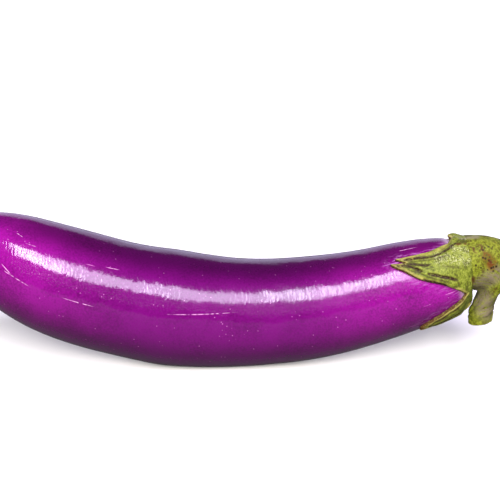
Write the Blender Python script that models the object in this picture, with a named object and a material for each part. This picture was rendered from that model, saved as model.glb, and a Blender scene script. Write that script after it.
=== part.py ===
"""A long purple eggplant, as picked, lying on the small flat under its belly.

Three pieces: the fruit, the five-lobed calyx that clasps its shoulder, and the stalk, which leaves the
calyx and hooks over to a cut end. Metres, +Z up. The origin is the centre of the resting flat, +X runs
towards the stalk, and the fruit bows in the XZ plane with both of its ends raised.

Places on the fruit are given by a station, the distance along its axis from the blossom end, and an
angle round that axis: 0 faces -Y, and 90 degrees is the top.
"""

import functools
import math
from dataclasses import dataclass

import bmesh
import bpy
import numpy as np
from mathutils import Vector

MM = 0.001
GAP = 0.3 * MM

# The fruit's axis: an arc, lowest at station LOW_POINT, and straight once it has risen to NECK_RISE.
BEND_RADIUS = 232 * MM
LOW_POINT = 138.8 * MM
NECK_RISE = math.radians(17)

# The fruit's body.
FRUIT_LENGTH = 245 * MM
BLOSSOM_DOME = 79 * MM
SHOULDER = 232 * MM
BLOSSOM_BLUNTNESS = 2.35
SHOULDER_BLUNTNESS = 4.5
# Station and radius, from the belly to the shoulder, in millimetres.
GIRTHS = (
    (79, 26.6),
    (91, 26.7),
    (105, 27.0),
    (121, 26.27),
    (135, 25.4),
    (172, 23.9),
    (205, 21.8),
    (225, 19.8),
    (245, 15.7),
)
# The flat that it rests on, cut this deep into the underside.
FLAT_DEPTH = 0.7 * MM

# The calyx.
MARGIN_THICKNESS = 1.3 * MM
CUP_THICKNESS = 2.4 * MM
CUP_START = 236 * MM
CUP_END = 243.5 * MM
COLUMNS_PER_LOBE = 16
TIP_SHARPNESS = 1.35
CALYX_ROWS = 30
# Radius of the fruit under the lobes, in millimetres: it spaces the columns evenly along an edge.
LOBE_RADIUS = 20
NECK_DISC_ROWS = 2

# The neck, where the calyx ends and the stalk begins.
NECK_STATION = 248.4 * MM
NECK_LIFT = 3.0 * MM
NECK_RADIUS = 12.4 * MM
NECK_TILT = math.radians(8)

# The stalk's sections from the neck's centre, in millimetres: the inner and the outer side of the
# hook as (x, z), and the half width across it.
STALK_SECTIONS = (
    ((1.8, -12.3), (-1.7, 12.3), 12.4),
    ((3.8, -13.0), (7.8, 12.2), 11.6),
    ((4.6, -14.4), (16.1, 9.0), 10.0),
    ((4.0, -16.6), (19.2, 0.2), 8.7),
    ((3.0, -18.9), (16.0, -8.6), 7.7),
    ((2.2, -21.2), (13.3, -13.9), 7.0),
    ((1.4, -25.0), (11.7, -20.2), 6.4),
    ((1.2, -29.8), (11.9, -27.6), 6.1),
)
RINGS_PER_SECTION = 3
STALK_SIDES = 28

# Skin, flesh of the calyx and bark: linear colour, roughness.
SKIN = ((0.16, 0.008, 0.14, 1), 0.25)
CALYX_GREEN = ((0.42, 0.52, 0.09, 1), 0.6)
STALK_OLIVE = ((0.30, 0.30, 0.08, 1), 0.75)


@dataclass(frozen=True)
class Lobe:
    """One lobe of the calyx: degrees round the fruit, and stations in millimetres."""

    notch_angle: float
    notch: float
    tip_angle: float
    tip: float
    near_swing: float
    far_swing: float


# Each lobe starts at its own notch and ends at the next lobe's. A swing above 1 keeps that edge of
# the lobe close to the tip's angle for longer.
LOBES = (
    Lobe(-20, 241.0, 52, 212.0, 0.75, 5.0),
    Lobe(103, 243.0, 158, 226.0, 3.5, 1.5),
    Lobe(177, 241.0, 207, 214.0, 1.6, 1.5),
    Lobe(233, 242.0, 262, 222.5, 1.5, 1.8),
    Lobe(287, 241.5, 309, 216.5, 1.7, 1.4),
)


def arc_angle(station):
    """Return how far the axis has turned from level at a station."""
    return min((station - LOW_POINT) / BEND_RADIUS, NECK_RISE)


def axis_point(station):
    """Return the point of the axis at a station, before the fruit is set down."""
    angle = arc_angle(station)
    straight = max(0.0, station - LOW_POINT - BEND_RADIUS * NECK_RISE)
    x = BEND_RADIUS * math.sin(angle) + straight * math.cos(angle)
    z = BEND_RADIUS * (1 - math.cos(angle)) + straight * math.sin(angle)
    return Vector((x, 0, z))


def across(tilt, angle):
    """Return the unit vector at an angle round an axis that rises by tilt."""
    up = math.sin(angle)
    return Vector((-math.sin(tilt) * up, -math.cos(angle), math.cos(tilt) * up))


def monotone(x, knots):
    """Return a smooth curve through (x, y) knots with no overshoot, at x."""
    xs, ys = np.array(knots, float).T
    slopes = np.diff(ys) / np.diff(xs)
    tangents = [slopes[0]]
    for before, after in zip(slopes, slopes[1:]):
        turns = before * after <= 0
        tangents.append(0.0 if turns else 2 * before * after / (before + after))
    tangents.append(slopes[-1])
    i = int(np.clip(np.searchsorted(xs, x) - 1, 0, len(xs) - 2))
    width = xs[i + 1] - xs[i]
    t = min(max((x - xs[i]) / width, 0.0), 1.0)
    a = ys[i] * (2 * t**3 - 3 * t**2 + 1) + ys[i + 1] * (3 * t**2 - 2 * t**3)
    return a + width * (tangents[i] * (t**3 - 2 * t**2 + t) + tangents[i + 1] * (t**3 - t**2))


def girth(station):
    """Return the fruit's radius at a station."""
    body = monotone(max(station, BLOSSOM_DOME) / MM, GIRTHS) * MM
    blossom = max(0.0, (BLOSSOM_DOME - station) / BLOSSOM_DOME)
    shoulder = max(0.0, (station - SHOULDER) / (FRUIT_LENGTH - SHOULDER))
    body *= max(0.0, 1 - blossom**BLOSSOM_BLUNTNESS) ** (1 / BLOSSOM_BLUNTNESS)
    return body * max(0.0, 1 - shoulder**SHOULDER_BLUNTNESS) ** (1 / SHOULDER_BLUNTNESS)


def skin_point(station, angle, clearance=0.0):
    """Return the point on the fruit's skin, moved off it by the clearance."""
    step = 0.2 * MM
    low, high = max(station - step, 0.0), min(station + step, FRUIT_LENGTH)
    slope = math.atan2(girth(high) - girth(low), high - low)
    tilt = arc_angle(station)
    along = Vector((math.cos(tilt), 0, math.sin(tilt)))
    out = across(tilt, angle)
    normal = out * math.cos(slope) - along * math.sin(slope)
    return axis_point(station) + out * girth(station) + normal * clearance


def set_down():
    """Return the move that puts the centre of the resting flat at the origin."""
    stations = np.linspace(BLOSSOM_DOME, SHOULDER, 1600)
    lowest = min((skin_point(s, math.radians(-90)) for s in stations), key=lambda point: point.z)
    return Vector((-lowest.x, 0, -lowest.z - FLAT_DEPTH))


def smooth_step(t):
    """Return an eased 0 to 1."""
    t = min(max(t, 0.0), 1.0)
    return t * t * (3 - 2 * t)


def lobe_edge(lobe, start_angle, notch, swing, share):
    """Return the angle and station at a share of the way along one edge of a lobe, from its notch."""
    w = np.linspace(0, 1, 65)
    angles = start_angle + (lobe.tip_angle - start_angle) * (1 - (1 - w) ** swing)
    stations = notch + (lobe.tip - notch) * w**TIP_SHARPNESS
    steps = np.hypot(np.radians(np.diff(angles)) * LOBE_RADIUS, np.diff(stations))
    run = np.concatenate([[0], np.cumsum(steps)])
    along = share * run[-1]
    return np.interp(along, run, angles), np.interp(along, run, stations)


@functools.cache
def margin_at(column):
    """Return the angle and station of the calyx's edge at a column, and the angle of the neck under it."""
    which, part = divmod(column, COLUMNS_PER_LOBE)
    lobe, after = LOBES[which], LOBES[(which + 1) % len(LOBES)]
    end_angle = after.notch_angle + (360 if which == len(LOBES) - 1 else 0)
    t = part / COLUMNS_PER_LOBE
    neck = lobe.notch_angle + (end_angle - lobe.notch_angle) * t
    if t <= 0.5:
        angle, station = lobe_edge(lobe, lobe.notch_angle, lobe.notch, lobe.near_swing, 2 * t)
    else:
        angle, station = lobe_edge(lobe, end_angle, after.notch, lobe.far_swing, 2 - 2 * t)
    return math.radians(angle), station * MM, math.radians(neck)


def neck_centre():
    """Return the centre of the neck, before the fruit is set down."""
    return axis_point(NECK_STATION) + across(NECK_RISE, math.radians(90)) * NECK_LIFT


def neck_point(angle, share=1.0):
    """Return a point of the neck's flat end, at a share of its radius."""
    return neck_centre() + across(NECK_TILT, angle) * NECK_RADIUS * share


def calyx_inside(column, t):
    """Return a point of the calyx's inner side: t is 0 at the edge and 1 at the end of the fruit."""
    angle, station, neck = margin_at(column)
    where = station + (FRUIT_LENGTH - station) * math.sin(t * math.pi / 2)
    return skin_point(where, angle + (neck - angle) * t, GAP)


def calyx_outside(column, t):
    """Return a point of the calyx's outer side: t is 0 at the edge and 1 at the rim of the neck."""
    angle, station, neck = margin_at(column)
    where = station + (CUP_END - station) * t
    start = max(station, CUP_START)
    blend = smooth_step((where - start) / (CUP_END - start))
    thickness = MARGIN_THICKNESS + (CUP_THICKNESS - MARGIN_THICKNESS) * smooth_step(3 * t)
    cup = skin_point(where, angle + (neck - angle) * t, GAP + thickness)
    return cup.lerp(neck_point(neck), blend)


def calyx_point(column, row):
    """Return the calyx's point: row 0 is at the end of the fruit, and the last is the neck's centre."""
    edge, rim = CALYX_ROWS // 2, CALYX_ROWS - NECK_DISC_ROWS
    if row <= edge:
        return calyx_inside(column, 1 - row / edge)
    if row <= rim:
        return calyx_outside(column, (row - edge) / (rim - edge))
    return neck_point(margin_at(column)[2], (CALYX_ROWS - row) / NECK_DISC_ROWS)


def catmull_rom(knots, t):
    """Return the point of a smooth curve through the knots, t running from 0 to their count less one."""
    i = min(int(t), len(knots) - 2)
    t -= i
    before, start = knots[max(i - 1, 0)], knots[i]
    end, after = knots[i + 1], knots[min(i + 2, len(knots) - 1)]
    bend = 2 * before - 5 * start + 4 * end - after
    twist = 3 * (start - end) + after - before
    return 0.5 * (2 * start + (end - before) * t + bend * t**2 + twist * t**3)


def material(name, look):
    """Return a plain finish."""
    colour, roughness = look
    made = bpy.data.materials.new(name)
    made.use_nodes = True
    shader = made.node_tree.nodes["Principled BSDF"]
    shader.inputs["Base Color"].default_value = colour
    shader.inputs["Roughness"].default_value = roughness
    return made


def clear_scene():
    """Remove what the scene starts with."""
    for existing in list(bpy.data.objects):
        bpy.data.objects.remove(existing, do_unlink=True)


def new_collection(name):
    """Return a collection linked to the scene."""
    made = bpy.data.collections.new(name)
    bpy.context.scene.collection.children.link(made)
    return made


def add_object(name, shape, collection, finish=None):
    """Return an object made from a bmesh, shaded smooth."""
    mesh = bpy.data.meshes.new(name)
    shape.to_mesh(mesh)
    shape.free()
    mesh.shade_smooth()
    mesh.set_sharp_from_angle(angle=math.radians(40))
    if finish:
        mesh.materials.append(finish)
    made = bpy.data.objects.new(name, mesh)
    collection.objects.link(made)
    return made


def sphere_place(vertex, columns, rows):
    """Return the column and row of a vertex of a unit sphere that has this many of each."""
    row = round(math.acos(min(max(vertex.co.z, -1.0), 1.0)) / math.pi * rows)
    column = round(math.atan2(vertex.co.y, vertex.co.x) / math.tau * columns) % columns
    return column, row


def reshaped_sphere(columns, rows, place):
    """Return a sphere whose vertices have been moved to place(column, row)."""
    shape = bmesh.new()
    bmesh.ops.create_uvsphere(shape, u_segments=columns, v_segments=rows, radius=1)
    for vertex in shape.verts:
        vertex.co = place(*sphere_place(vertex, columns, rows))
    return shape


def build_fruit(collection, cutters, move):
    """Make the fruit, with its resting flat cut off level."""
    columns, rows = 36, 50

    def place(column, row):
        """Return where a point of the sphere goes: the rows close up towards both ends."""
        station = FRUIT_LENGTH * (1 - math.cos(math.pi * row / rows)) / 2
        return skin_point(station, math.tau * column / columns) + move

    fruit = add_object("fruit", reshaped_sphere(columns, rows, place), collection, material("skin", SKIN))
    shape = bmesh.new()
    bmesh.ops.create_cube(shape, size=FRUIT_LENGTH / 2)
    bmesh.ops.translate(shape, verts=shape.verts, vec=(0, 0, -FRUIT_LENGTH / 4))
    floor = add_object("floor_cutter", shape, cutters)
    floor.hide_render = True
    floor.display_type = "WIRE"
    cut = fruit.modifiers.new("resting flat", "BOOLEAN")
    cut.operation = "DIFFERENCE"
    cut.solver = "EXACT"
    cut.object = floor


def build_calyx(collection, move):
    """Make the calyx: a sphere pressed into a lobed cup, its lower half the outside."""
    columns = COLUMNS_PER_LOBE * len(LOBES)
    shape = reshaped_sphere(columns, CALYX_ROWS, lambda column, row: calyx_point(column, row) + move)
    add_object("calyx", shape, collection, material("calyx", CALYX_GREEN))


def build_stem(collection, move):
    """Make the stalk: a loft through oval sections that fan round the inside of the hook."""
    origin = neck_centre() + move
    start = Vector((math.cos(NECK_TILT), 0, math.sin(NECK_TILT))) * GAP
    knots = np.array([(*inner, *outer, half) for inner, outer, half in STALK_SECTIONS]) * MM
    rings = []
    shape = bmesh.new()
    for step in range((len(knots) - 1) * RINGS_PER_SECTION + 1):
        inner_x, inner_z, outer_x, outer_z, half = catmull_rom(knots, step / RINGS_PER_SECTION)
        centre = origin + start + Vector((inner_x + outer_x, 0, inner_z + outer_z)) / 2
        reach = Vector((outer_x - inner_x, 0, outer_z - inner_z)) / 2
        turns = [math.tau * side / STALK_SIDES for side in range(STALK_SIDES)]
        points = [centre + reach * math.sin(a) + Vector((0, -half * math.cos(a), 0)) for a in turns]
        rings.append([shape.verts.new(point) for point in points])
    for ring, following in zip(rings, rings[1:]):
        for side in range(STALK_SIDES):
            beside = (side + 1) % STALK_SIDES
            shape.faces.new((ring[side], following[side], following[beside], ring[beside]))
    shape.faces.new(rings[0])
    shape.faces.new(reversed(rings[-1]))
    add_object("stem", shape, collection, material("stalk", STALK_OLIVE))


def main():
    """Build the eggplant."""
    clear_scene()
    eggplant, cutters = new_collection("eggplant"), new_collection("cutters")
    move = set_down()
    build_fruit(eggplant, cutters, move)
    build_calyx(eggplant, move)
    build_stem(eggplant, move)


main()
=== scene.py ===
"""A long purple eggplant with a lobed green calyx and a hooked stalk, lying on its belly.

Metres, +Z up. The fruit bows in the XZ plane and rests at the origin. Places on it are given by a
station, the distance along its axis from the blossom end, and an angle round that axis: 0 faces -Y,
and a quarter turn is the top. Each piece takes the place of the solid of the same part.
"""

from __future__ import annotations

import logging
import math
from collections.abc import Callable, Sequence
from dataclasses import dataclass
from enum import Enum
from functools import partial

import bmesh
import bpy
import numpy as np
from bpy.types import Material, Node, NodeSocket, NodeTree, Object
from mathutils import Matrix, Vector, kdtree, noise


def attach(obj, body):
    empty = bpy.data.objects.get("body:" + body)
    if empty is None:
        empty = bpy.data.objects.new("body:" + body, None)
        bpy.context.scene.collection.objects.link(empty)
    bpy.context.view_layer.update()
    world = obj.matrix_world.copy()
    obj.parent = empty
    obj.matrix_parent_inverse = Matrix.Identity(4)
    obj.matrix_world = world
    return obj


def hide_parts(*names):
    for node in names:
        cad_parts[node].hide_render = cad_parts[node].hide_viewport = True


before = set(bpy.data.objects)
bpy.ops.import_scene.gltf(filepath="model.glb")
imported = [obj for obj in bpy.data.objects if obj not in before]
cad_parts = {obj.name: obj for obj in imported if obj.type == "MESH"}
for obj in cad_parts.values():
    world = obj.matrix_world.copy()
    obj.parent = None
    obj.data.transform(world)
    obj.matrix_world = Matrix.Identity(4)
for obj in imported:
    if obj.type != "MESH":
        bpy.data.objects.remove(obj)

log = logging.getLogger("eggplant")
Array = np.ndarray
Adder = Callable[..., Node]
MM = 0.001
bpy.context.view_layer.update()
# What makes a Map Range ease in and out.
EASED = {"interpolation_type": "SMOOTHSTEP"}
# The map in metres that patterns follow, and the radius it is laid out with round the fruit.
SHEET = "length_round"
SKIN_GIRTH = 24 * MM


class Body(Enum):
    """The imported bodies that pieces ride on."""

    ROOT = "root"


class Slot(Enum):
    """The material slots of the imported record."""

    SKIN = "skin"
    CALYX = "calyx"
    STALK = "stalk"


# ---- small tools


def linear(hex_colour: str) -> tuple[float, float, float, float]:
    """Turn an sRGB hex colour to linear.

    Args:
        hex_colour: six hex digits, with or without a leading hash.

    Returns:
        Linear red, green, blue and an alpha of 1.
    """
    digits = hex_colour.lstrip("#")
    shares = [int(digits[i : i + 2], 16) / 255 for i in (0, 2, 4)]
    curve = [s / 12.92 if s <= 0.04045 else ((s + 0.055) / 1.055) ** 2.4 for s in shares]
    return (*curve, 1.0)


def feed(node: Node, inputs: dict[str | int, object]) -> None:
    """Set a node's inputs.

    Args:
        node: the node.
        inputs: by name or place, each input's value, or the socket or the node that feeds it. The
            places of Map Range are its value, the range it comes from and the range it goes to.
    """
    for key, value in inputs.items():
        if isinstance(value, Node):
            value = next(socket for socket in value.outputs if socket.enabled)
        if isinstance(value, NodeSocket):
            node.id_data.links.new(value, node.inputs[key])
        else:
            node.inputs[key].default_value = value


def add_node(
    tree: NodeTree,
    kind: str,
    inputs: dict[str | int, object] | None = None,
    stops: Sequence[tuple[float, str]] = (),
    **settings: object,
) -> Node:
    """Add a shader node with its settings and links.

    Args:
        tree: the nodes it joins.
        kind: the node's type, less the word ShaderNode.
        inputs: what its inputs are set to, as feed() takes them.
        stops: a colour ramp's positions and sRGB hex colours.
        settings: the node's own settings.

    Returns:
        The new node.
    """
    node = tree.nodes.new("ShaderNode" + kind)
    for name, value in settings.items():
        setattr(node, name, value)
    feed(node, inputs or {})
    for index, (position, colour) in enumerate(stops):
        elements = node.color_ramp.elements
        stop = elements[index] if index < 2 else elements.new(position)
        stop.position = position
        stop.color = linear(colour)
    return node


def smooth(t: Array | float) -> Array | float:
    """Return an eased 0 to 1."""
    t = np.clip(t, 0.0, 1.0)
    return t * t * (3 - 2 * t)


def catmull_rom(knots: Array, t: Array) -> Array:
    """Run a smooth curve through knots.

    Args:
        knots: one row a knot.
        t: places along the curve, from 0 to the count of knots less one.

    Returns:
        One row a place.
    """
    i = np.clip(t.astype(int), 0, len(knots) - 2)
    u = (t - i)[:, None]
    before, start = knots[np.maximum(i - 1, 0)], knots[i]
    end, after = knots[i + 1], knots[np.minimum(i + 2, len(knots) - 1)]
    bend = 2 * before - 5 * start + 4 * end - after
    twist = 3 * (start - end) + after - before
    return 0.5 * (2 * start + (end - before) * u + bend * u**2 + twist * u**3)


def grain(points: Array, size: float, seed: float = 0.0) -> Array:
    """Sample smooth noise, about -1 to 1, whose lumps are of a size in metres."""
    shift = Vector((seed, -seed, seed / 2))
    return np.array([noise.noise(Vector(p) / size + shift) for p in points])


def deselect() -> None:
    """Leave object mode with nothing selected."""
    if bpy.context.object and bpy.context.object.mode != "OBJECT":
        bpy.ops.object.mode_set(mode="OBJECT")
    bpy.ops.object.select_all(action="DESELECT")


def loft(name: str, rings: Sequence[Array]) -> Object:
    """Extrude a circle ring by ring, and draw its first and last rings together to a point.

    Args:
        name: the piece's name.
        rings: each ring's points, all of one count.

    Returns:
        The new piece, left active in object mode.
    """
    deselect()
    bpy.ops.mesh.primitive_circle_add(vertices=len(rings[0]), radius=1)
    piece = bpy.context.object
    piece.name = name
    bpy.ops.object.mode_set(mode="EDIT")
    shape = bmesh.from_edit_mesh(piece.data)
    spots = sorted(shape.verts, key=lambda v: math.atan2(v.co.y, v.co.x) % math.tau)
    for vertex, point in zip(spots, rings[0]):
        vertex.co = point
    bmesh.update_edit_mesh(piece.data)
    count = len(spots)
    order = np.array([v.index for v in spots])
    for ring in rings[1:]:
        bpy.ops.mesh.extrude_region_move()
        shape = bmesh.from_edit_mesh(piece.data)
        shape.verts.ensure_lookup_table()
        fresh = sorted((v for v in shape.verts if v.select), key=lambda v: v.index)
        rank = np.argsort(np.argsort(order))
        for vertex, place in zip(fresh, np.argsort(rank)):
            vertex.co = ring[place]
        bmesh.update_edit_mesh(piece.data)
        order = np.array([fresh[r].index for r in rank])
    bpy.ops.mesh.merge(type="CENTER")
    bpy.ops.mesh.select_all(action="DESELECT")
    shape = bmesh.from_edit_mesh(piece.data)
    for vertex in shape.verts:
        vertex.select = vertex.index < count
    shape.select_flush(True)
    bpy.ops.mesh.merge(type="CENTER")
    bpy.ops.mesh.select_all(action="SELECT")
    bpy.ops.mesh.normals_make_consistent(inside=False)
    bpy.ops.object.mode_set(mode="OBJECT")
    return piece


def pressed_sphere(name: str, columns: int, rows: int, points: Array) -> Object:
    """Press a sphere into another closed form.

    Args:
        name: the piece's name.
        columns: the sphere's segments.
        rows: the sphere's rings, from its top, row 0, to its bottom.
        points: where each place goes, by row and column.

    Returns:
        The new piece, left active in object mode.
    """
    deselect()
    bpy.ops.mesh.primitive_uv_sphere_add(segments=columns, ring_count=rows, radius=1)
    piece = bpy.context.object
    piece.name = name
    for vertex in piece.data.vertices:
        row = round(math.acos(min(max(vertex.co.z, -1.0), 1.0)) / math.pi * rows)
        column = round(math.atan2(vertex.co.y, vertex.co.x) / math.tau * columns) % columns
        vertex.co = points[row, column]
    return piece


def apply_subdivision(piece: Object, levels: int) -> None:
    """Round a piece with subdivision and apply it."""
    step = piece.modifiers.new("rounding", "SUBSURF")
    step.levels = step.render_levels = levels
    bpy.ops.object.modifier_apply(modifier=step.name)


def read_points(piece: Object, field: str = "co") -> Array:
    """Return each point's place, or with the field "normal" its outward direction, one row each."""
    flat = np.empty(len(piece.data.vertices) * 3, np.float32)
    piece.data.vertices.foreach_get(field, flat)
    return flat.reshape(-1, 3).astype(float)


def move_points(piece: Object, points: Array) -> None:
    """Put a piece's points where they are given."""
    piece.data.vertices.foreach_set("co", points.astype(np.float32).ravel())
    piece.data.update()


def paint(piece: Object, name: str, values: Array) -> None:
    """Store one number a point, for a material to read."""
    layer = piece.data.attributes.new(name, "FLOAT", "POINT")
    layer.data.foreach_set("value", values.astype(np.float32))


def distance_to(points: Array, line: Array) -> tuple[Array, Array]:
    """Measure from points to a line of straight runs.

    Args:
        points: one row a point.
        line: the line's corners, one row each.

    Returns:
        Each point's distance to the line, and how far along it the nearest place is, from 0 to 1.
    """
    best = np.full(len(points), np.inf)
    along = np.zeros(len(points))
    runs = len(line) - 1
    for index, (start, end) in enumerate(zip(line, line[1:])):
        way = end - start
        share = np.clip((points - start) @ way / max(way @ way, 1e-12), 0, 1)
        away = np.linalg.norm(points - start - share[:, None] * way, axis=1)
        nearer = away < best
        best = np.where(nearer, away, best)
        along = np.where(nearer, (index + share) / runs, along)
    return best, along


@dataclass(frozen=True)
class Crease:
    """A furrow, or with a depth below zero a ridge: stations in millimetres and degrees round the fruit."""

    path: tuple[tuple[float, float], ...]
    width: float
    depth: float = 0.0
    # How dark the painted shade along the furrow is.
    tone: float = 0.0

    def press(self, station: Array, angle: Array) -> Array:
        """Return how much of the furrow there is at each place, from 0 to 1."""
        knots = np.array(self.path)
        fine = catmull_rom(knots, np.linspace(0, len(knots) - 1, 6 * len(knots)))
        middle = fine[:, 1].mean()
        turn = (np.degrees(angle) - middle + 180) % 360 - 180 + middle
        girth = np.array([1.0, math.radians(18.5)])
        away, along = distance_to(np.stack([station / MM, turn], 1) * girth, fine * girth)
        taper = smooth(along / 0.12) * smooth((1 - along) / 0.2)
        return np.exp(-((away / self.width) ** 2)) * taper


@dataclass(frozen=True)
class Mark:
    """A patch of colour round a short line: its two ends and its radius, in millimetres."""

    start: tuple[float, float, float]
    end: tuple[float, float, float]
    radius: float

    def cover(self, points: Array) -> Array:
        """Return how much of the patch there is at each point, from 0 to 1."""
        away, _ = distance_to(points, np.array([self.start, self.end]) * MM)
        return smooth(1.5 - away / (self.radius * MM))


def paint_marks(piece: Object, points: Array, layers: dict[str, Sequence[Mark]]) -> None:
    """Paint each layer of a piece where that layer's marks are."""
    for name, marks in layers.items():
        paint(piece, name, np.max([mark.cover(points) for mark in marks], 0))


def nearest(points: Array, line: Array) -> Array:
    """Return each point's distance to the nearest of a line's points."""
    tree = kdtree.KDTree(len(line))
    for index, point in enumerate(line):
        tree.insert(Vector(point), index)
    tree.balance()
    return np.array([tree.find(Vector(point))[2] for point in points])


def lay_out(piece: Object, along: Array, turn: Array, girth: float) -> None:
    """Give a piece a map in metres: along it, and round it.

    Args:
        piece: the piece.
        along: each point's distance along it.
        turn: each point's angle round it.
        girth: the radius that turns the angle to a distance.
    """
    layer = piece.data.uv_layers.new(name=SHEET)
    corners = np.empty(len(piece.data.loops), np.int32)
    piece.data.loops.foreach_get("vertex_index", corners)
    angles = turn[corners]
    for face in piece.data.polygons:
        span = slice(face.loop_start, face.loop_start + face.loop_total)
        if np.ptp(angles[span]) > math.pi:
            angles[span] = np.where(angles[span] < 0, angles[span] + math.tau, angles[span])
    layer.data.foreach_set("uv", np.stack([along[corners], angles * girth], 1).astype(np.float32).ravel())


def finish_piece(piece: Object, look: Material, node: str) -> None:
    """Dress a piece, tie it to its body and hide the part it takes the place of."""
    piece.data.materials.clear()
    piece.data.materials.append(look)
    piece.data.shade_smooth()
    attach(piece, Body.ROOT.value)
    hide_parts(node)
    log.info("%s: %d faces", piece.name, len(piece.data.polygons))


# ---- the fruit's form


@dataclass(frozen=True)
class FruitForm:
    """The fruit's outline: a round section carried along an axis that bows upwards at both ends."""

    bend_radius: float = 232 * MM
    low_point: float = 138.8 * MM
    neck_rise: float = math.radians(17)
    length: float = 245 * MM
    blossom_dome: float = 79 * MM
    shoulder: float = 232 * MM
    blossom_bluntness: float = 2.35
    shoulder_bluntness: float = 4.5
    flat_depth: float = 0.7 * MM
    girths: tuple[tuple[float, float], ...] = (
        (79, 26.6),
        (91, 26.7),
        (105, 27.0),
        (121, 26.27),
        (135, 25.4),
        (172, 23.9),
        (205, 21.8),
        (225, 19.8),
        (245, 15.7),
    )

    def tilt(self, station: Array) -> Array:
        """Return how far the axis has turned from level."""
        return np.minimum((station - self.low_point) / self.bend_radius, self.neck_rise)

    def axis(self, station: Array) -> Array:
        """Return the axis's points, before the fruit is set down."""
        turn = self.tilt(station)
        straight = np.maximum(0.0, station - self.low_point - self.bend_radius * self.neck_rise)
        x = self.bend_radius * np.sin(turn) + straight * np.cos(turn)
        z = self.bend_radius * (1 - np.cos(turn)) + straight * np.sin(turn)
        return np.stack([x, np.zeros_like(x), z], -1)

    def belly(self, station: Array) -> Array:
        """Return the radius that the girths give, with no overshoot between them."""
        xs, ys = np.array(self.girths).T * MM
        slopes = np.diff(ys) / np.diff(xs)
        product = slopes[:-1] * slopes[1:]
        total = np.where(product > 0, slopes[:-1] + slopes[1:], 1.0)
        inner = np.where(product > 0, 2 * product / total, 0.0)
        tangents = np.concatenate([slopes[:1], inner, slopes[-1:]])
        where = np.clip(station, xs[0], xs[-1])
        i = np.clip(np.searchsorted(xs, where) - 1, 0, len(xs) - 2)
        width = xs[i + 1] - xs[i]
        t = (where - xs[i]) / width
        ends = ys[i] * (2 * t**3 - 3 * t**2 + 1) + ys[i + 1] * (3 * t**2 - 2 * t**3)
        return ends + width * (tangents[i] * (t**3 - 2 * t**2 + t) + tangents[i + 1] * (t**3 - t**2))

    def girth(self, station: Array) -> Array:
        """Return the fruit's radius, domed at both ends."""
        blossom = np.clip((self.blossom_dome - station) / self.blossom_dome, 0, 1)
        shoulder = np.clip((station - self.shoulder) / (self.length - self.shoulder), 0, 1)
        dome = (1 - blossom**self.blossom_bluntness) ** (1 / self.blossom_bluntness)
        dome *= (1 - shoulder**self.shoulder_bluntness) ** (1 / self.shoulder_bluntness)
        return self.belly(station) * dome

    def skin(self, station: Array, angle: Array, clearance: Array | float = 0.0) -> Array:
        """Find points on the skin or off it.

        Args:
            station: distances along the axis.
            angle: angles round the axis.
            clearance: how far off the skin.

        Returns:
            One row a point, with the fruit set down.
        """
        return self.raw_skin(station, angle, clearance) + self.move()

    def raw_skin(self, station: Array, angle: Array, clearance: Array | float) -> Array:
        """Return points on the skin or off it, before the fruit is set down."""
        station, angle, clearance = np.broadcast_arrays(station, angle, clearance)
        low = np.maximum(station - 0.2 * MM, 0.0)
        high = np.minimum(station + 0.2 * MM, self.length)
        slope = np.arctan2(self.girth(high) - self.girth(low), high - low)
        tilt = self.tilt(station)
        along = np.stack([np.cos(tilt), np.zeros_like(tilt), np.sin(tilt)], -1)
        out = across(tilt, angle)
        normal = out * np.cos(slope)[..., None] - along * np.sin(slope)[..., None]
        return self.axis(station) + out * self.girth(station)[..., None] + normal * clearance[..., None]

    def move(self) -> Array:
        """Return the move that puts the centre of the resting flat at the origin."""
        stations = np.linspace(self.blossom_dome, self.shoulder, 1600)
        under = self.raw_skin(stations, np.full_like(stations, -math.pi / 2), 0.0)
        lowest = under[np.argmin(under[:, 2])]
        return np.array([-lowest[0], 0.0, -lowest[2] - self.flat_depth])

    def locate(self, points: Array) -> tuple[Array, Array]:
        """Return the station and the angle of each point, as skin() takes them."""
        x, y, z = (points - self.move()).T
        turn = np.arctan2(x, self.bend_radius - z)
        up = self.bend_radius - np.hypot(x, self.bend_radius - z)
        station = self.low_point + self.bend_radius * turn
        end = self.axis(np.array([self.low_point + self.bend_radius * self.neck_rise]))[0]
        sine, cosine = math.sin(self.neck_rise), math.cos(self.neck_rise)
        straight = turn > self.neck_rise
        beyond = (x - end[0]) * cosine + (z - end[2]) * sine
        station = np.where(straight, self.low_point + self.bend_radius * self.neck_rise + beyond, station)
        up = np.where(straight, (z - end[2]) * cosine - (x - end[0]) * sine, up)
        return station, np.arctan2(up, -y)


def across(tilt: Array, angle: Array) -> Array:
    """Return the unit direction at an angle round an axis that rises by a tilt."""
    up = np.sin(angle)
    return np.stack([-np.sin(tilt) * up, -np.cos(angle), np.cos(tilt) * up], -1)


FORM = FruitForm()


# ---- finishes


def laid(add: Adder, under: str | Node, over: str | Node, *shares: str | Node | NodeSocket) -> Node:
    """Lay one colour over another.

    Args:
        add: what adds a node among theirs.
        under: the colour below, as sRGB hex or the node that gives it.
        over: the colour laid on it, in the same way.
        shares: what lets it show, multiplied together: nodes, sockets or the names of painted layers.

    Returns:
        The node that gives the new colour.
    """
    total = None
    for share in shares:
        if isinstance(share, str):
            share = add("Attribute", attribute_name=share).outputs["Fac"]
        total = share if total is None else add("Math", {0: total, 1: share}, operation="MULTIPLY")
    below, above = (linear(colour) if isinstance(colour, str) else colour for colour in (under, over))
    return add("Mix", {0: total, 6: below, 7: above}, data_type="RGBA")


def new_look(name: str) -> tuple[Material, Adder, Node]:
    """Return a new material, what adds a node to it, and its shader."""
    look = bpy.data.materials.new(name)
    look.use_nodes = True
    return look, partial(add_node, look.node_tree), look.node_tree.nodes["Principled BSDF"]


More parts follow.
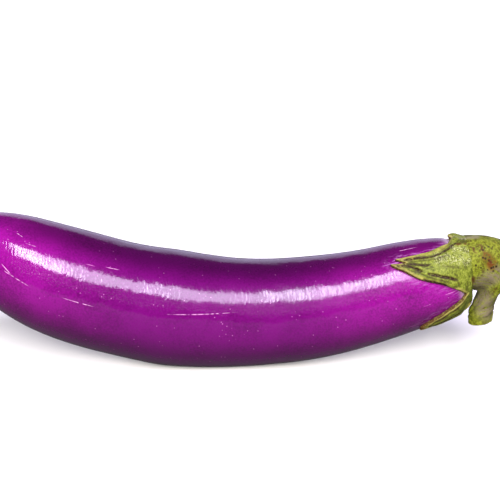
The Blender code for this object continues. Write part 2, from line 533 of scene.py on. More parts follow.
@dataclass(frozen=True)
class EggplantSkin:
    """Eggplant skin: a tight wax-coated peel. It shows a clear, slightly broken sheen over deep purple."""

    deep: str = "#380236"
    middle: str = "#520450"
    bright: str = "#720a6b"
    dash: str = "#a8609c"
    scratch: str = "#a8749f"
    blush: str = "#93609a"
    bare: str = "#a08c9a"
    scar: str = "#6a4a2c"
    # The colour that the painted shade darkens the skin towards.
    shade: tuple[float, float, float, float] = (0.4, 0.36, 0.4, 1.0)
    roughness: float = 0.12
    dull: float = 0.16

    def build(self) -> Material:
        """Return the material."""
        look, add, shader = new_look("waxy_eggplant_skin")
        place = add("TexCoord").outputs["Object"]
        sheet = add("UVMap", uv_map=SHEET)
        station = add("SeparateXYZ", {0: sheet})
        colour = self.flecks(add, sheet, station, self.ground(add, place, station))
        # Pale pores, in about a quarter of cells 2 mm wide.
        pores = add("TexVoronoi", {"Vector": place, "Scale": 520.0})
        body = add("MapRange", {0: pores, 1: 0.19, 2: 0.05, 4: 0.55})
        picked = add("Math", {0: pores.outputs["Color"], 1: 0.72}, operation="GREATER_THAN")
        colour = laid(add, colour, self.dash, body, picked)
        shade = add("Attribute", attribute_name="shade").outputs["Fac"]
        # Painted shade: the upper side and the belly are a little darker.
        colour = add("Mix", {0: shade, 6: colour, 7: self.shade}, data_type="RGBA", blend_type="MULTIPLY")
        colour = self.scratches(add, sheet, colour)
        streak_map = add("Mapping", {"Vector": sheet, "Scale": (260.0, 1100.0, 1.0)})
        streak = add("TexNoise", {"Vector": streak_map, "Scale": 1.0})
        broken = add("MapRange", {0: streak, 1: 0.48, 2: 0.68})
        whole = add("MapRange", {0: streak, 1: 0.2, 2: 0.4})
        colour = laid(add, colour, self.blush, "blush", broken)
        colour = laid(add, colour, self.scar, "scar", whole)
        bare = add("MapRange", {0: station, 1: 0.2375, 2: 0.2425}, **EASED)
        # The wax is thinner from the middle to the calyx, and the sheen softer.
        gloss = add("MapRange", {0: station, 1: 0.085, 2: 0.15, 3: self.roughness, 4: self.dull}, **EASED)
        feed(shader, {"Base Color": laid(add, colour, self.bare, bare), "Normal": self.relief(add, place)})
        feed(shader, {"Roughness": gloss, "IOR": 1.46})
        return look

    def ground(self, add: Adder, place: NodeSocket, station: Node) -> Node:
        """Lay the purple: brighter at the blossom end and by the calyx, mottled in between.

        Args:
            add: what adds a node to the material.
            place: object coordinates.
            station: distance along the fruit.

        Returns:
            The colour.
        """
        run = add("MapRange", {0: station, 2: FORM.length})
        stops = ((0.04, self.bright), (0.36, self.middle), (0.68, self.middle), (0.92, self.bright))
        along = add("ValToRGB", {0: run}, stops=stops)
        # Mottles of about 12 mm, then a grain of about 1 mm.
        mottle = add("TexNoise", {"Vector": place, "Scale": 60.0})
        fine = add("TexNoise", {"Vector": place, "Scale": 1100.0})
        both = add("Math", {0: mottle, 1: fine}, operation="ADD")
        share = add("MapRange", {0: both, 1: 0.35, 2: 1.15})
        return laid(add, self.deep, along, share)

    def flecks(self, add: Adder, sheet: Node, station: Node, ground: Node) -> Node:
        """Scatter pale dashes along the fruit, closer together towards the calyx.

        Args:
            add: what adds a node to the material.
            sheet: the map along and round the fruit.
            station: distance along the fruit.
            ground: the colour under them.

        Returns:
            The colour.
        """
        wander = add("TexNoise", {"Vector": sheet, "Scale": 150.0}).outputs["Color"]
        shift = add("VectorMath", {0: wander, 1: (0.0, 0.0009, 0.0)}, operation="MULTIPLY")
        wavy = add("VectorMath", {0: sheet, 1: shift}, operation="ADD")
        # Cells 16 mm long and 1.3 mm wide, each with room for one dash.
        cells = add("Mapping", {"Vector": wavy, "Scale": (62.0, 780.0, 1.0)})
        spots = add("TexVoronoi", {"Vector": cells, "Scale": 1.0})
        body = add("MapRange", {0: spots, 1: 0.24, 2: 0.08}, **EASED)
        chance = add("MapRange", {0: station, 1: 0.19, 2: 0.24, 3: 0.955, 4: 0.62})
        picked = add("Math", {0: spots.outputs["Color"], 1: chance}, operation="GREATER_THAN")
        return laid(add, ground, self.dash, body, picked)

    def scratches(self, add: Adder, sheet: Node, ground: Node) -> Node:
        """Draw the long pale scratches.

        Args:
            add: what adds a node to the material.
            sheet: the map along and round the fruit.
            ground: the colour under them.

        Returns:
            The colour.
        """
        total = 0.0
        for station, angle, end_station, end_angle, half_width in SCRATCHES:
            start = np.array([station * MM, math.radians(angle) * SKIN_GIRTH])
            end = np.array([end_station * MM, math.radians(end_angle) * SKIN_GIRTH])
            middle, way = (start + end) / 2, end - start
            oval = {
                "Vector": sheet,
                "Location": (middle[0], middle[1], 0.0),
                "Rotation": (0.0, 0.0, math.atan2(way[1], way[0])),
                "Scale": (float(np.hypot(*way)) / 2, half_width * MM, 1.0),
            }
            local = add("Mapping", oval, vector_type="TEXTURE")
            away = add("VectorMath", {0: local}, operation="LENGTH")
            body = add("MapRange", {0: away, 1: 1.0, 2: 0.5})
            total = add("Math", {0: total, 1: body}, operation="MAXIMUM")
        breaks = add("TexNoise", {"Vector": sheet, "Scale": 420.0, "Detail": 1.0})
        kept = add("MapRange", {0: breaks, 1: 0.4, 2: 0.58})
        return laid(add, ground, self.scratch, total, kept)

    def relief(self, add: Adder, place: NodeSocket) -> Node:
        """Break the sheen with fine cross grain.

        Args:
            add: what adds a node to the material.
            place: object coordinates.

        Returns:
            The bent normal.
        """
        # Wrinkles 1 mm wide that run round the fruit for about 3 mm.
        grid = {"Vector": place, "Rotation": (0.0, math.radians(12), 0.0), "Scale": (1000.0, 330.0, 330.0)}
        cross = add("TexNoise", {"Vector": add("Mapping", grid), "Scale": 1.0})
        bump = add("Bump", {"Height": cross, "Distance": 0.00011})
        # Shallow waves about 9 mm long make the edge of the sheen wander.
        waves = add("TexNoise", {"Vector": place, "Scale": 110.0, "Detail": 1.0})
        return add("Bump", {"Height": waves, "Distance": 0.0003, "Normal": bump})


# Scratches: station in millimetres and degrees round the fruit at both ends, then half the width.
SCRATCHES = (
    (26.1, 6.3, 41.8, 2.6, 0.3),
    (24.9, 12.6, 32.5, 4.8, 0.26),
    (55.8, 5.0, 72.2, 6.2, 0.24),
    (101.7, 12.8, 138.5, 20.5, 0.2),
    (24.7, 54.9, 29.9, 50.8, 0.25),
    (31.4, 45.2, 37.4, 45.6, 0.25),
    (71.5, 47.0, 79.0, 48.0, 0.2),
    (216.2, 72.1, 226.8, 73.4, 0.28),
    (60.0, 150.0, 92.0, 143.0, 0.35),
    (130.0, 171.0, 151.0, 176.0, 0.3),
    (180.0, -60.0, 204.0, -52.0, 0.35),
)


@dataclass(frozen=True)
class CalyxTissue:
    """Calyx: a fleshy green leaf gone leathery. It shows pale flecks, a lighter rim and painted brown shade
    in its creases.
    """

    green: str = "#535c15"
    pale: str = "#6e762c"
    dark: str = "#3a3d10"
    fleck: str = "#999b70"
    rim: str = "#7d763b"
    brink: str = "#3a240c"
    crease: str = "#23140a"
    # The dark brown of the painted shade in the creases.
    stain: str = "#43260c"
    dry: str = "#8c8476"
    roughness: float = 0.6

    def build(self) -> Material:
        """Return the material."""
        look, add, shader = new_look("leathery_calyx")
        place = add("TexCoord").outputs["Object"]
        # Blotches of 3 mm under a grain of 0.8 mm, with flecks of half a millimetre.
        blotch = add("TexNoise", {"Vector": place, "Scale": 330.0})
        fine = add("TexNoise", {"Vector": place, "Scale": 1250.0})
        tiny = add("TexNoise", {"Vector": place, "Scale": 2100.0, "Detail": 1.0})
        both = add("Math", {0: fine, 1: blotch}, operation="ADD")
        level = add("MapRange", {0: both, 1: 0.72, 2: 1.3})
        colour = add("ValToRGB", {0: level}, ((0.12, self.dark), (0.42, self.green), (0.85, self.pale)))
        grainy = add("MapRange", {0: fine, 1: 0.25, 2: 0.5})
        broken = add("MapRange", {0: tiny, 1: 0.5, 2: 0.66})
        soft = add("MapRange", {0: blotch, 1: 0.1, 2: 0.7})
        patchy = add("MapRange", {0: blotch, 1: 0.38, 2: 0.6})
        for layer, over, gain in (
            ("flecks", self.fleck, broken),
            ("rim", self.rim, soft),
            ("dry", self.dry, broken),
            ("brink", self.brink, grainy),
            # Painted shade along the creases.
            ("crease", self.crease, grainy),
            ("stain", self.stain, patchy),
            ("scar", self.stain, grainy),
        ):
            colour = laid(add, colour, over, layer, gain)
        bump = add("Bump", {"Height": fine, "Distance": 0.00012})
        feed(shader, {"Base Color": colour, "Normal": bump})
        feed(shader, {"Roughness": self.roughness, "Specular IOR Level": 0.28})
        return look


@dataclass(frozen=True)
class StalkBark:
    """Stalk: green bark drying to olive brown. It shows dull furrows and dark spots."""

    olive: str = "#51580c"
    pale: str = "#6b7020"
    brown: str = "#3c340b"
    grey: str = "#5c5440"
    orange: str = "#4c2b06"
    spot: str = "#1c1206"
    scar: str = "#3a1c0c"
    dry: str = "#6c6650"
    pith: str = "#8f8a5c"
    roughness: float = 0.68

    def build(self) -> Material:
        """Return the material."""
        look, add, shader = new_look("drying_stalk_bark")
        place = add("TexCoord").outputs["Object"]
        sheet = add("UVMap", uv_map=SHEET)
        blotch = add("TexNoise", {"Vector": place, "Scale": 300.0, "Detail": 3.0})
        fine = add("TexNoise", {"Vector": place, "Scale": 1150.0})
        # Bark fibres 0.7 mm wide and about 6 mm long.
        fibre_map = add("Mapping", {"Vector": sheet, "Scale": (170.0, 1400.0, 1.0)})
        fibre = add("TexNoise", {"Vector": fibre_map, "Scale": 1.0})
        both = add("Math", {0: fine, 1: blotch}, operation="ADD")
        level = add("MapRange", {0: both, 1: 0.72, 2: 1.3})
        colour = add("ValToRGB", {0: level}, ((0.1, self.brown), (0.42, self.olive), (0.85, self.pale)))
        threads = add("MapRange", {0: fibre, 1: 0.3, 2: 0.55})
        dots = add("TexVoronoi", {"Vector": place, "Scale": 620.0})
        dot = add("MapRange", {0: dots, 1: 0.42, 2: 0.25})
        chosen = add("Math", {0: dots.outputs["Color"], 1: 0.3}, operation="GREATER_THAN")
        spots = add("Math", {0: dot, 1: chosen}, operation="MULTIPLY")
        rough = add("MapRange", {0: both, 1: 0.84, 2: 1.06})
        grainy = add("MapRange", {0: fine, 1: 0.2, 2: 0.45})
        for layer, over, gain in (
            ("bark", self.grey, threads),
            ("orange", self.orange, rough),
            ("dry", self.dry, threads),
            ("spots", self.spot, spots),
            ("mark", self.scar, grainy),
            ("pith", self.pith, grainy),
        ):
            colour = laid(add, colour, over, layer, gain)
        height = add("Math", {0: fibre, 1: fine}, operation="ADD")
        bump = add("Bump", {"Height": height, "Distance": 0.00022})
        feed(shader, {"Base Color": colour, "Normal": bump})
        feed(shader, {"Roughness": self.roughness, "Specular IOR Level": 0.28})
        return look


# ---- pieces


@dataclass
class Fruit:
    """The fruit itself: skin, and the dimple that the flower left."""

    sides: int = 96
    rings: int = 130
    unevenness: float = 0.35 * MM

    def build(self, rim: Array) -> Object:
        """Return the dressed fruit, with the calyx's rim along these points."""
        spacing = (1 - np.cos(np.linspace(0, math.pi, self.rings + 2))) / 2
        even = np.linspace(0, 1, self.rings + 2)
        stations = FORM.length * (0.5 * spacing + 0.5 * even)
        stations[0], stations[-1] = 0.02 * MM, FORM.length - 0.02 * MM
        stations = np.sort(np.concatenate([stations, np.array([0.08, 0.2, 0.4, 0.65]) * MM]))
        angles = np.linspace(0, math.tau, self.sides, endpoint=False)
        rings = [FORM.skin(np.full(self.sides, s), angles) for s in stations]
        piece = loft("fruit_skin", rings)
        apply_subdivision(piece, 1)
        points, normals = read_points(piece), read_points(piece, "normal")
        station, angle = FORM.locate(points)
        tip = np.linalg.norm(points - FORM.skin(np.zeros(1), np.zeros(1)), axis=1)
        push = self.unevenness * grain(points, 28 * MM, 4.0) - 0.9 * MM * np.exp(-((tip / (5 * MM)) ** 2))
        points += normals * push[:, None]
        points[:, 2] = np.maximum(points[:, 2], 0.0)
        move_points(piece, points)
        near = nearest(points, rim)
        # Painted shade: darker on the upper side and the belly, less so towards the blossom end.
        above, below = smooth((np.sin(angle) - 0.69) / 0.27), smooth((-0.1 - np.sin(angle)) / 0.5)
        end = 1 - 0.6 * smooth((40 - station / MM) / 30)
        paint(piece, "shade", np.maximum(above, 0.6 * below) * end)
        upper = 0.35 + 0.65 * smooth((np.sin(angle) - 0.7) / 0.1)
        paint(piece, "blush", smooth(1.15 - near / (5 * MM)) * smooth((station / MM - 205) / 12) * upper)
        paint(piece, "scar", smooth((4.2 * MM - tip + 1.2 * MM * grain(points, 3 * MM, 1.0)) / (1.5 * MM)))
        lay_out(piece, station, angle, SKIN_GIRTH)
        finish_piece(piece, EggplantSkin().build(), "fruit")
        return piece


@dataclass
class Calyx:
    """The calyx: a cup round the fruit's shoulder that runs out into five pointed lobes."""

    columns: int = 720
    inner_rows: int = 12
    outer_rows: int = 80
    disc_rows: int = 3
    gap: float = 0.15 * MM
    rim_thickness: float = 1.25 * MM
    rim_round: float = 0.9
    cup_thickness: float = 2.3 * MM
    cup_start: float = 236 * MM
    cup_end: float = 243.5 * MM
    neck_station: float = 247.4 * MM
    neck_lift: float = 3.0 * MM
    neck_radius: float = 12.4 * MM
    neck_tilt: float = math.radians(8)
    # The edge: degrees round the fruit, station and lift off the skin in millimetres. It runs from
    # the notch under the broad lobe, out to that lobe's split tip, and on round the other four.
    edge: tuple[tuple[float, float, float], ...] = (
        (-20, 241, 0.2), (-8, 238.5, 0.1), (3, 234.5, 0), (12, 230, 0), (18, 226, 0), (24, 222.8, 0),
        (32, 219.4, 0), (38, 217.2, 0), (42, 215.2, 0.1), (46, 213.4, 0.2), (50, 212.2, 0.4),
        (49.2, 213.4, 0.3), (47.2, 215.6, 0.1), (47.6, 218.8, 0), (50.4, 217.8, 0.1),
        (55.4, 214.9, 0.4), (54.2, 217.4, 0.1), (52.6, 221, 0), (52, 225, 0), (52.4, 229, 0),
        (54.4, 233, 0), (58, 236.6, 0.1), (66, 239, 0.2), (78, 240.6, 0.4), (90, 241.6, 0.5),
        (98, 241.0, 0.7), (104, 240.8, 1.2), (110, 242.6, 0.4), (128, 243.4, 0), (139, 240, 0),
        (148, 233.5, 0), (155, 226.6, 0.3), (159, 229.5, 0.1), (166, 236, 0), (176, 241.5, 0.2),
        (184, 236.5, 0), (192, 229.5, 0), (199, 221, 0), (205, 214.8, 0.3), (207, 217.8, 0),
        (209.5, 215, 0.3), (216, 221, 0), (223, 230, 0), (229, 238, 0), (234, 242, 0.2),
        (242, 236.5, 0), (251, 229, 0), (260, 222.6, 0.3), (268, 227, 0), (278, 236, 0),
        (287, 241.5, 0.2), (294, 235, 0), (300, 226, 0), (306.5, 217.2, 0.3), (309, 219.8, 0),
        (311.5, 217.6, 0.2), (318, 223, 0), (326, 232, 0), (333, 238.5, 0), (340, 241, 0.2),
    )
    notches: tuple[float, ...] = (-20, 104, 176, 234, 287, 340)

    def margin(self) -> tuple[Array, Array, Array, Array]:
        """Space the columns evenly along the edge.

        Returns:
            Each column's angle, station and lift at the edge, and its angle at the neck.
        """
        knots = np.array(self.edge)
        fine = catmull_rom(knots, np.linspace(0, len(knots) - 1, 24 * len(knots)))
        steps = np.hypot(np.radians(np.diff(fine[:, 0])) * 20, np.diff(fine[:, 1]))
        run = np.concatenate([[0], np.cumsum(steps)])
        even = np.linspace(0, run[-1], self.columns, endpoint=False)
        angle, station, lift = (np.interp(even, run, fine[:, k]) for k in range(3))
        places = [i for i, knot in enumerate(self.edge) if knot[0] in self.notches]
        runs = run[np.clip(np.array(places) * 24 * len(knots) // (len(knots) - 1), 0, len(run) - 1)]
        neck = np.interp(even, runs, self.notches)
        return np.radians(angle), station * MM, lift * MM, np.radians(neck)

    def rim(self) -> Array:
        """Return points along the middle of the edge."""
        angle, station, _, _ = self.margin()
        return FORM.skin(station, angle, self.gap + self.rim_thickness / 2)

    def neck_centre(self) -> Array:
        """Return the centre of the neck."""
        rise = across(np.array(FORM.neck_rise), np.array(math.pi / 2)) * self.neck_lift
        return FORM.axis(np.array([self.neck_station]))[0] + FORM.move() + rise

    def neck(self, angle: Array, share: float = 1.0) -> Array:
        """Return points of the neck's flat end, at a share of its radius."""
        way = across(np.full_like(angle, self.neck_tilt), angle)
        return self.neck_centre() + way * self.neck_radius * share

    def outside(self, t: float, edge: tuple[Array, ...]) -> Array:
        """Return one row of the outside: t is 0 at the edge and 1 at the neck."""
        angle, station, lift, neck = edge
        where = station + (self.cup_end - station) * t
        start = np.maximum(station, self.cup_start)
        blend = smooth((where - start) / (self.cup_end - start))
        away = (where - station) / MM
        rise = self.gap + lift * np.exp(-((away / 3) ** 2))
        rounded = np.sqrt(1 - (1 - np.clip(away / self.rim_round, 0, 1)) ** 2)
        rise += self.rim_thickness * (0.35 + 0.65 * rounded)
        rise += (self.cup_thickness - self.rim_thickness) * smooth(3 * t)
        cup = FORM.skin(where, angle + (neck - angle) * t, rise)
        return cup + (self.neck(neck) - cup) * blend[:, None]

    def inside(self, t: float, edge: tuple[Array, ...]) -> Array:
        """Return one row of the inside: t is 0 at the edge and 1 at the fruit's end."""
        angle, station, lift, neck = edge
        where = station + (FORM.length - station) * math.sin(t * math.pi / 2)
        rise = self.gap + lift * math.exp(-((12 * t) ** 2))
        return FORM.skin(where, angle + (neck - angle) * t, rise)

    def build(self) -> Object:
        """Return the dressed calyx."""
        edge = self.margin()
        rows = [self.inside(1 - k / self.inner_rows, edge) for k in range(self.inner_rows + 1)]
        rows += [self.outside((k / self.outer_rows) ** 1.3, edge) for k in range(self.outer_rows + 1)]
        rows += [self.neck(edge[3], 1 - k / self.disc_rows) for k in range(1, self.disc_rows + 1)]
        points = np.array(rows)
        piece = pressed_sphere("calyx_leaf", self.columns, len(rows) - 1, points)
        self.sculpt(piece)
        finish_piece(piece, CalyxTissue().build(), "calyx")
        return piece

    def sculpt(self, piece: Object) -> None:
        """Press the creases into the calyx with painted shade along them, and paint its rim."""
        points, normals = read_points(piece), read_points(piece, "normal")
        distance = nearest(points, self.rim()) / MM
        station, angle = FORM.locate(points)
        wobble = grain(points, 4 * MM, 5.0)
        dark = np.zeros(len(points))
        push = 0.22 * MM * grain(points, 5 * MM, 9.0) * smooth(distance / 3)
        push = push * smooth((248 - station / MM) / 4) + 0.05 * MM * grain(points, 1.2 * MM, 3.0)
        facing = smooth((normals * across(FORM.tilt(station), angle)).sum(1) / 0.3)
        wander = station + 0.45 * MM * grain(points, 3 * MM, 11.0)
        # Each furrow is pressed in, with painted shade along it as dark as its tone.
        for crease in CREASES:
            share = crease.press(wander, angle) * facing
            push -= crease.depth * MM * share
            dark = np.maximum(dark, crease.tone * share * (2.4 + 1.3 * grain(points, 1.6 * MM, 6.0)))
        # A furrow follows the rim of every lobe but the broad one, which has its own; painted shade runs
        # along it.
        own = smooth((np.abs((np.degrees(angle) - 38 + 180) % 360 - 180) - 66) / 6)
        furrow = np.exp(-(((distance - 2.0 - 0.4 * wobble) / 0.45) ** 2))
        furrow *= own * smooth((247 - station / MM) / 4)
        push -= 0.35 * MM * furrow
        dark = np.maximum(dark, (0.9 + 0.5 * wobble) * furrow)
        move_points(piece, points + normals * push[:, None])
        paint(piece, "crease", np.clip(dark, 0, 1))
        paint(piece, "rim", smooth((2.1 - distance) / 0.7))
        paint(piece, "brink", smooth((0.95 + 0.35 * wobble - distance) / 0.3))
        paint(piece, "flecks", np.max([patch.press(station, angle) for patch in PALE_PATCHES], 0))
        paint_marks(piece, points, {"stain": STAINS, "scar": SCARS, "dry": DRY_TISSUE})
        lay_out(piece, station, angle, 20 * MM)


# Creases of the calyx: the broad lobe's first, then those of the four others.
CREASES = (
    Crease(
        (
            (217.8, 52), (222.5, 50.2), (229.9, 47.6), (233.8, 48.6),
            (236.8, 51.5), (239.7, 56.1), (242.9, 65.6), (245.8, 71),
        ),
        0.42, 0.5, 1.0,
    ),
    Crease(((217.6, 47.6), (220.5, 44.4), (223.4, 41.7), (227.6, 37.8), (230, 37.4)), 0.4, 0.4, 0.85),
    Crease(((228, 37.6), (232.8, 37.7), (238, 37.2), (242, 36)), 0.9, -0.35, 0.0),
    Crease(((214.6, 46.4), (218.5, 43.6), (221.5, 39.4), (223.6, 34.6), (226.4, 30)), 0.45, 0.4, 0.8),
    Crease(((222.6, 37), (223.8, 34), (225, 31.6)), 0.75, 0.35, 0.9),
    Crease(((227.1, 27.9), (230, 23.9), (233.5, 18.6), (237, 13.6), (240.5, 6.6)), 0.62, 0.5, 0.8),
    Crease(((224.6, 23), (225.7, 20.1), (230.2, 12.7), (235, 4)), 0.5, 0.4, 0.75),
    Crease(((219.8, 48), (224, 46), (229, 44), (235, 44), (240, 47)), 0.5, 0.2, 0.25),
    Crease(((221, 36), (226, 26), (231, 17), (236, 8)), 0.4, 0.15, 0.3),
    Crease(((234, 32), (238, 29), (243, 24)), 0.6, 0.2, 0.2),
    Crease(((235, 52), (239, 60), (243, 74)), 0.5, 0.25, 0.2),
    Crease(((244.7, 66), (247, 70), (250.4, 76)), 0.8, 0.2, 0.3),
    Crease(((246, 52), (248, 50), (250.6, 46)), 0.5, 0.2, 0.3),
    Crease(((228.5, 156), (233, 148), (238, 140), (243, 134)), 0.5, 0.45, 0.7),
    Crease(((232, 150), (237, 157), (243, 160)), 0.5, 0.3, 0.4),
    Crease(((218.5, 207), (223, 206), (229, 205), (236, 204), (242, 204)), 0.5, 0.45, 0.85),
    Crease(((222, 202), (228, 197), (234, 192), (241, 189)), 0.5, 0.35, 0.6),
    Crease(((223, 211), (229, 215), (236, 219), (242, 221)), 0.5, 0.35, 0.6),
    Crease(((225.5, 261), (230, 260), (236, 259), (242, 259)), 0.5, 0.45, 0.8),
    Crease(((229, 266), (235, 271), (241, 274)), 0.5, 0.3, 0.5),
    Crease(((230, 255), (236, 249), (241, 246)), 0.5, 0.3, 0.5),
    Crease(((220.8, 309), (226, 310), (232, 311), (240, 312)), 0.5, 0.45, 0.9),
    Crease(((223, 305), (229, 301), (235, 298), (241, 296)), 0.5, 0.35, 0.6),
    Crease(((223, 314), (229, 319), (235, 325), (240, 330)), 0.5, 0.35, 0.65),
)
PALE_PATCHES = (
    Crease(((231, 46), (236, 42), (241, 38), (246, 34), (250, 30)), 2.6),
    Crease(((240, 60), (246, 52), (250, 44), (252, 34)), 2.4),
    Crease(((236, 150), (242, 150), (248, 150)), 3.0),
    Crease(((230, 200), (238, 198), (246, 198)), 2.5),
    Crease(((234, 262), (240, 262), (247, 262)), 2.5),
)
STAINS = (
    Mark((113.4, -7.4, 60.2), (114.6, -6.8, 60.6), 0.8),
    Mark((117.2, -6.4, 60.4), (118.8, -5.2, 60.8), 0.7),
    Mark((110, 8, 60), (117, 6, 60), 0.9),
    Mark((108, 14, 36), (113, 12, 38), 0.9),
)
SCARS = (Mark((120.2, -12.6, 45.6), (120.6, -11.9, 43.0), 1.25),)
DRY_TISSUE = (
    Mark((115.6, -2.5, 62.4), (123, -1.4, 61.8), 1.5),
    Mark((111.4, 1.6, 61.4), (113.4, 0.6, 62.4), 1.0),
)


@dataclass
class Stalk:
    """The stalk: a stout hook from the neck of the calyx down to a cut end."""

    sides: int = 96
    rings: int = 84
    ridge: float = 0.3 * MM
    # The middle of the hook's bend from the neck's centre, its radius, and what its map is laid out with.
    bend: tuple[float, float, float] = (4 * MM, 0.0, -14 * MM)
    bend_radius: float = 12 * MM
    bend_length: float = 14 * MM
    bark_girth: float = 10 * MM
    # Sections from the neck's centre, in millimetres: the inner and the outer side of the hook as
    # x and z, and the half width across it.
    sections: tuple[tuple[float, ...], ...] = (
        (0.9, -12.5, -2.6, 12.4, 12.55),
        (3.9, -13.1, 8.4, 12.3, 11.6),
        (5.0, -14.6, 17.2, 9.0, 10.2),
        (4.4, -17.0, 20.4, 0.0, 9.2),
        (3.4, -19.4, 17.6, -9.2, 8.2),
        (2.4, -21.8, 14.8, -15.0, 7.4),
        (1.5, -25.2, 12.8, -20.9, 6.6),
        (1.2, -29.8, 12.2, -27.9, 6.2),
    )

    def build(self, centre: Array) -> Object:
        """Return the dressed stalk, on a neck with this centre."""
        knots = np.array(self.sections) * MM
        places = np.linspace(0, len(knots) - 1, self.rings)
        turns = np.linspace(0, math.tau, self.sides, endpoint=False)
        rings = []
        for inner_x, inner_z, outer_x, outer_z, half in catmull_rom(knots, places):
            middle = centre + np.array([inner_x + outer_x, 0, inner_z + outer_z]) / 2
            reach = np.array([outer_x - inner_x, 0, outer_z - inner_z]) / 2
            side = np.array([0, -half, 0])
            rings.append(middle + np.sin(turns)[:, None] * reach + np.cos(turns)[:, None] * side)
        last = rings[-1]
        heart = last.mean(0)
        drop = np.array([0, 0, 0.35 * MM])
        for share in (0.97, 0.9, 0.84, 0.5, 0.2):
            rings.append(heart + (last - heart) * share + drop * (share < 0.88))
        piece = loft("stalk_hook", rings)
        self.sculpt(piece, centre, heart)
        finish_piece(piece, StalkBark().build(), "stem")
        return piece

    def sculpt(self, piece: Object, centre: Array, heart: Array) -> None:
        """Ridge the bark and paint its spots, patches and cut end."""
        points, normals = read_points(piece), read_points(piece, "normal")
        knots = np.array(self.sections) * MM
        inner_x, inner_z, outer_x, outer_z, half = knots.T
        line = centre + np.stack([inner_x + outer_x, 0 * half, inner_z + outer_z], 1) / 2
        _, along = distance_to(points, line)
        x, y, z = (points - centre - self.bend).T
        run = np.arctan2(z, x)
        turn = np.arctan2(np.hypot(x, z) - self.bend_radius, -y)
        ridges = np.cos(5 * turn + 1.2) + 0.5 * np.cos(11 * turn + 3 * along)
        cut = smooth((heart[2] + 1.2 * MM - points[:, 2]) / (1.0 * MM))
        push = self.ridge * ridges * smooth(along / 0.2) * (1 - cut)
        push += 0.3 * MM * grain(points, 6 * MM, 2.0) * smooth(along / 0.15)
        push += 0.08 * MM * grain(points, 1.5 * MM, 7.0)
        for mark in BARK_MARKS:
            push -= 0.25 * MM * mark.cover(points)
        move_points(piece, points + normals * push[:, None])
        inner = np.hypot(points[:, 0] - heart[0], points[:, 1] - heart[1]) / (6 * MM)
        paint(piece, "pith", cut * smooth((0.86 - inner) / 0.1))
        layers = {"bark": GREY_BARK, "orange": ORANGE_BARK, "spots": SPOTTED_BARK, "mark": BARK_MARKS}
        paint_marks(piece, points, {**layers, "dry": DRY_TISSUE})
        lay_out(piece, run * self.bend_length, turn, self.bark_girth)


# Patches of the stalk, in the frame of the whole eggplant.
GREY_BARK = (
    Mark((123, -10, 41), (131, -9, 47), 4.2),
    Mark((124, -6, 36), (130, -5, 28), 5.5),
    Mark((126, 8, 40), (130, 6, 28), 6.0),
)
ORANGE_BARK = (
    Mark((127.0, -10.8, 55.2), (129.2, -10.4, 51.6), 2.6),
    Mark((125.6, -9.8, 57.0), (127.0, -10.6, 55.4), 1.0),
    Mark((126, 10, 54), (129, 9, 50), 2.2),
)
SPOTTED_BARK = (
    Mark((122.6, -11.6, 53.6), (130.0, -10.0, 51.0), 3.4),
    Mark((124, -8.4, 57.6), (129, -6.8, 58.2), 1.5),
    Mark((124, 10, 54), (131, 7, 48), 4.0),
)
BARK_MARKS = (
    Mark((120.6, -8.2, 58.9), (121.4, -9.6, 56.9), 0.45),
    Mark((124.0, -6.6, 60.0), (125.0, -8.6, 57.8), 0.5),
    Mark((130.6, -3.6, 60.6), (132.6, -6.4, 57.8), 0.4),
    Mark((120.4, -12.2, 45.4), (121.0, -11.6, 42.6), 1.25),
    Mark((128.0, -10.4, 54.0), (128.8, -10.6, 52.6), 0.5),
    Mark((125.0, 8.6, 58.0), (127.4, 9.2, 55.6), 0.5),
)


# ---- the studio


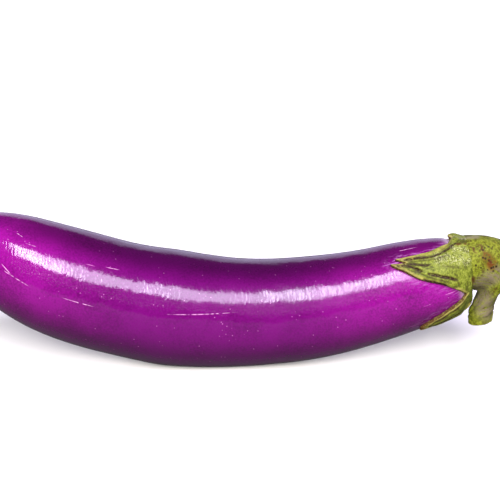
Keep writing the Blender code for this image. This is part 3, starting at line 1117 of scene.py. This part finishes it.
@dataclass
class Studio:
    """A white table under a soft box, white all round and dim overhead."""

    camera_rise: float = math.radians(18)
    camera_distance: float = 0.6389
    target: tuple[float, float, float] = (0.0194, 0.0, 0.05526)
    floor_colour: str = "#f4f4f6"
    floor_bounce: str = "#5e5e60"
    back_glow: float = 1.3
    front_glow: float = 0.08
    back_tint: str = "#e2deff"
    box_tint: str = "#efe6ff"
    box_height: float = 0.48
    box_power: float = 69
    # The soft box's panels: left and right ends, and how bright each is.
    panels: tuple[tuple[float, float, float], ...] = (
        (-0.17, -0.02, 2.0),
        (-0.02, 0.08, 0.5),
        (0.08, 0.26, 0.66),
        (0.26, 0.62, 0.7),
    )
    fill_tint: str = "#fffaf2"
    fill_power: float = 44

    def build(self) -> None:
        """Build the floor, the lights, the surroundings and the camera."""
        self.floor()
        self.lights()
        self.surroundings()
        self.camera()
        bpy.context.scene.view_settings.view_transform = "Standard"

    def floor(self) -> None:
        """Lay the table."""
        deselect()
        bpy.ops.mesh.primitive_plane_add(size=30)
        table = bpy.context.object
        table.name = "table"
        look, add, shader = new_look("white_table")
        seen = add("LightPath").outputs["Is Camera Ray"]
        place = add("TexCoord").outputs["Object"]
        away = add("VectorMath", {0: place}, operation="LENGTH")
        far = add("MapRange", {0: away, 1: 0.16, 2: 0.6}, **EASED)
        glow = add("Math", {0: far, 1: seen}, operation="MULTIPLY")
        feed(shader, {"Base Color": laid(add, self.floor_bounce, self.floor_colour, seen)})
        feed(shader, {"Emission Strength": glow, "Emission Color": (1, 1, 1, 1)})
        feed(shader, {"Roughness": 0.6, "Specular IOR Level": 0.2})
        table.data.materials.append(look)

    def lamp(self, name: str, width: float, height: float, x: float, rise: float, away: float) -> Object:
        """Hang an area lamp that faces the fruit.

        Args:
            name: its name.
            width: its width.
            height: its height.
            x: how far to the right it hangs.
            rise: its height over the fruit as an angle, in degrees.
            away: its distance.

        Returns:
            The lamp, still to be given its power.
        """
        light = bpy.data.lights.new(name, "AREA")
        light.shape = "RECTANGLE"
        light.size, light.size_y = width, height
        turn = math.radians(rise)
        lamp = bpy.data.objects.new(name, light)
        lamp.location = (x, -away * math.cos(turn), 0.05 + away * math.sin(turn))
        lamp.rotation_euler = (math.pi / 2 - turn, 0, 0)
        bpy.context.scene.collection.objects.link(lamp)
        return lamp

    def lights(self) -> None:
        """Hang the soft box, uneven from left to right, and a broad dull fill by the camera."""
        for index, (left, right, level) in enumerate(self.panels):
            width = right - left
            panel = self.lamp(f"soft_box_{index}", width, self.box_height, (left + right) / 2, 49.2, 1.15)
            panel.data.energy = self.box_power * level * width * self.box_height
            panel.data.color = linear(self.box_tint)[:3]
        fill = self.lamp("fill", 0.9, 0.5, 0.0, 24, 1.3)
        fill.data.energy = self.fill_power
        fill.data.color = linear(self.fill_tint)[:3]
        fill.visible_glossy = False

    def surroundings(self) -> None:
        """Make the surroundings white at the back and low down, and dim in front and above."""
        world = bpy.data.worlds.new("studio")
        bpy.context.scene.world = world
        world.use_nodes = True
        tree = world.node_tree
        tree.nodes.clear()
        add = partial(add_node, tree)
        way = add("SeparateXYZ", {0: add("TexCoord").outputs["Generated"]})
        low = add("MapRange", {0: way.outputs[2], 1: 0.58, 2: 0.46}, **EASED)
        behind = add("MapRange", {0: way.outputs[1], 1: -0.1, 2: 0.3}, **EASED)
        wall = add("Math", {0: low, 1: behind}, operation="MULTIPLY")
        level = add("MapRange", {0: wall, 3: self.front_glow, 4: self.back_glow})
        seen = add("LightPath").outputs["Is Camera Ray"]
        strength = add("Mix", {0: seen, 2: level, 3: 1.0})
        tint = laid(add, self.back_tint, "#ffffff", seen)
        glow = add("Background", {"Color": tint, "Strength": strength})
        add("OutputWorld", {"Surface": glow})

    def camera(self) -> None:
        """Set the camera up, looking slightly down across the fruit."""
        lens = bpy.data.cameras.new("camera")
        lens.lens, lens.sensor_width = 100, 36
        view = bpy.data.objects.new("camera", lens)
        back, up = math.cos(self.camera_rise), math.sin(self.camera_rise)
        x, y, z = self.target
        view.location = (x, y - self.camera_distance * back, z + self.camera_distance * up)
        view.rotation_euler = (math.pi / 2 - self.camera_rise, 0, 0)
        bpy.context.scene.collection.objects.link(view)
        bpy.context.scene.camera = view


def main() -> None:
    """Build the eggplant and its studio."""
    logging.basicConfig(level=logging.INFO, format="%(message)s")
    calyx = Calyx()
    Fruit().build(calyx.rim())
    calyx.build()
    Stalk().build(calyx.neck_centre())
    Studio().build()


if __name__ == "__main__":
    main()
